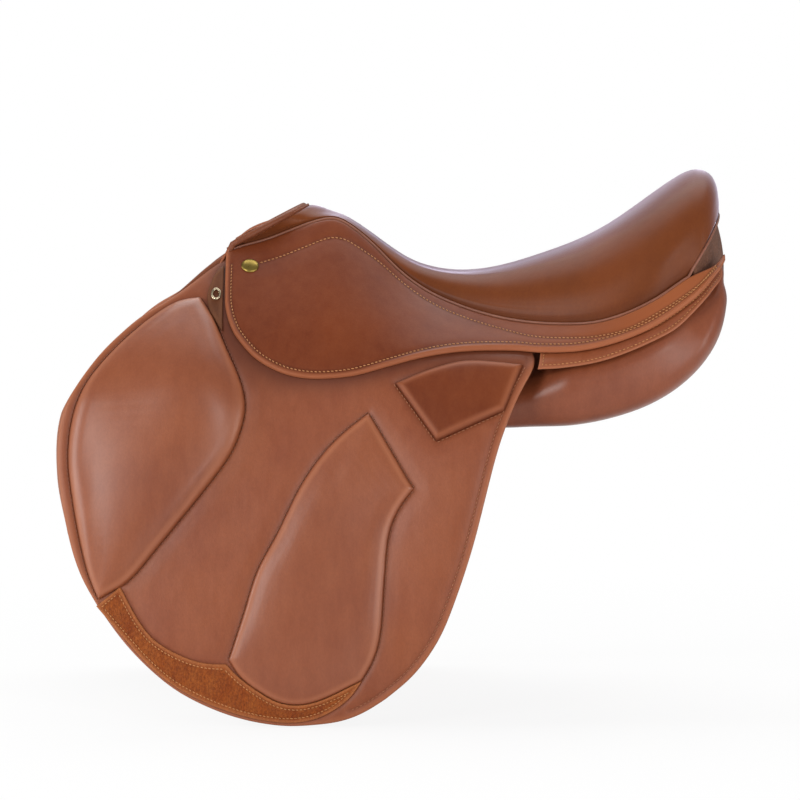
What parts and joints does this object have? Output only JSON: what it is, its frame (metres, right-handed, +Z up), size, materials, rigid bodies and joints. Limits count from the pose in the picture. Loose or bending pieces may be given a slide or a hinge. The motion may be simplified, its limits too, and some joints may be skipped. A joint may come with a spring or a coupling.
{
  "type": "saddle",
  "caption": "English jumping saddle of tan leather: forward-cut flaps with knee pads, lifting skirts, stuffed panels on a wooden tree.",
  "frame": {"origin": "where the saddle bears on the horse's spine line, under the deepest part of the seat", "axes": "+X towards the cantle and the horse's tail, +Y towards the off (right-hand) side, +Z up"},
  "size_m": [0.6288, 0.4512, 0.5046],
  "materials": {
    "brass": "polished brass",
    "grained_leather": "grained orange-brown leather",
    "laminated_wood": "laminated wood",
    "plated_steel": "plated steel",
    "seat_foam": "soft seat foam",
    "tan_leather": "smooth waxed tan leather",
    "under_leather": "darker plain leather",
    "webbing": "woven webbing"
  },
  "bodies": {
    "root": {"buckle_guard_left": "under_leather", "buckle_guard_right": "under_leather", "cantle_facing": "grained_leather", "flap_top_left": "tan_leather", "flap_top_right": "tan_leather", "girth_web_left": "webbing", "girth_web_right": "webbing", "gullet_lining": "under_leather", "gullet_plate": "plated_steel", "head_band": "tan_leather", "head_plate": "plated_steel", "inner_knee_block_left": "under_leather", "inner_knee_block_right": "under_leather", "knee_pad_top_left": "tan_leather", "knee_pad_top_right": "tan_leather", "nail_left": "brass", "nail_right": "brass", "panel_left": "under_leather", "panel_right": "under_leather", "rear_facing_left": "tan_leather", "rear_facing_right": "tan_leather", "ring_tab_left": "tan_leather", "ring_tab_right": "tan_leather", "seat_cover": "tan_leather", "seat_foam": "seat_foam", "seat_web": "webbing", "seat_welt": "tan_leather", "skirt_top_left": "tan_leather", "skirt_top_right": "tan_leather", "stirrup_bar_left": "plated_steel", "stirrup_bar_right": "plated_steel", "sweat_flap_left": "under_leather", "sweat_flap_right": "under_leather", "tree_cantle": "laminated_wood", "tree_head": "laminated_wood", "tree_rail_left": "laminated_wood", "tree_rail_right": "laminated_wood"},
    "flap_left": {"flap_left": "tan_leather", "knee_pad_left": "tan_leather", "leaf_pad_left": "tan_leather", "block_pad_left": "tan_leather", "bottom_insert_left": "grained_leather"},
    "skirt_left": {"skirt_left": "tan_leather"},
    "stirrup_catch_left": {"stirrup_catch_left": "plated_steel"},
    "front_ring_left": {"front_ring_left": "brass"},
    "girth_strap_front_left": {"girth_strap_front_left": "under_leather"},
    "girth_strap_middle_left": {"girth_strap_middle_left": "under_leather"},
    "girth_strap_rear_left": {"girth_strap_rear_left": "under_leather"},
    "flap_right": {"flap_right": "tan_leather", "knee_pad_right": "tan_leather", "leaf_pad_right": "tan_leather", "block_pad_right": "tan_leather", "bottom_insert_right": "grained_leather"},
    "skirt_right": {"skirt_right": "tan_leather"},
    "stirrup_catch_right": {"stirrup_catch_right": "plated_steel"},
    "front_ring_right": {"front_ring_right": "brass"},
    "girth_strap_front_right": {"girth_strap_front_right": "under_leather"},
    "girth_strap_middle_right": {"girth_strap_middle_right": "under_leather"},
    "girth_strap_rear_right": {"girth_strap_rear_right": "under_leather"}
  },
  "joints": [
    {"name": "flap_lift_left", "type": "hinge", "parent": "root", "child": "flap_left", "pos_m": [-0.15557, -0.1811, 0.02913], "axis": [-0.9963, 0.0018, -0.0856], "range_deg": [0, 45]},
    {"name": "skirt_lift_left", "type": "hinge", "parent": "root", "child": "skirt_left", "pos_m": [-0.07952, -0.12941, 0.10099], "axis": [-0.983, 0.1121, 0.1454], "range_deg": [0, 70]},
    {"name": "catch_turn_left", "type": "hinge", "parent": "root", "child": "stirrup_catch_left", "pos_m": [-0.11595, -0.10922, 0.06705], "axis": [0, 0.6289, 0.7775], "range_deg": [0, 90]},
    {"name": "ring_lift_left", "type": "hinge", "parent": "root", "child": "front_ring_left", "pos_m": [-0.22946, -0.10131, 0.11152], "axis": [-1, 0, 0], "range_deg": [0, 120]},
    {"name": "strap_swing_front_left", "type": "hinge", "parent": "root", "child": "girth_strap_front_left", "pos_m": [-0.09422, -0.15357, 0.0139], "axis": [-0.0485, -0.9241, 0.3791], "range_deg": [-3, 3]},
    {"name": "strap_swing_middle_left", "type": "hinge", "parent": "root", "child": "girth_strap_middle_left", "pos_m": [-0.05879, -0.15645, 0.01288], "axis": [-0.0754, -0.8936, 0.4424], "range_deg": [-3, 3]},
    {"name": "strap_swing_rear_left", "type": "hinge", "parent": "root", "child": "girth_strap_rear_left", "pos_m": [-0.02383, -0.16005, 0.01192], "axis": [-0.0728, -0.8618, 0.502], "range_deg": [-3, 3]},
    {"name": "flap_lift_right", "type": "hinge", "parent": "root", "child": "flap_right", "pos_m": [-0.15557, 0.1811, 0.02913], "axis": [0.9963, 0.0018, 0.0856], "range_deg": [0, 45]},
    {"name": "skirt_lift_right", "type": "hinge", "parent": "root", "child": "skirt_right", "pos_m": [-0.07952, 0.12941, 0.10099], "axis": [0.983, 0.1121, -0.1454], "range_deg": [0, 70]},
    {"name": "catch_turn_right", "type": "hinge", "parent": "root", "child": "stirrup_catch_right", "pos_m": [-0.11595, 0.10922, 0.06705], "axis": [0, 0.6289, -0.7775], "range_deg": [0, 90]},
    {"name": "ring_lift_right", "type": "hinge", "parent": "root", "child": "front_ring_right", "pos_m": [-0.22946, 0.10131, 0.11152], "axis": [1, 0, 0], "range_deg": [0, 120]},
    {"name": "strap_swing_front_right", "type": "hinge", "parent": "root", "child": "girth_strap_front_right", "pos_m": [-0.09422, 0.15357, 0.0139], "axis": [-0.0485, 0.9241, 0.3791], "range_deg": [-3, 3]},
    {"name": "strap_swing_middle_right", "type": "hinge", "parent": "root", "child": "girth_strap_middle_right", "pos_m": [-0.05879, 0.15645, 0.01288], "axis": [-0.0754, 0.8936, 0.4424], "range_deg": [-3, 3]},
    {"name": "strap_swing_rear_right", "type": "hinge", "parent": "root", "child": "girth_strap_rear_right", "pos_m": [-0.02383, 0.16005, 0.01192], "axis": [-0.0728, 0.8618, 0.502], "range_deg": [-3, 3]}
  ]
}
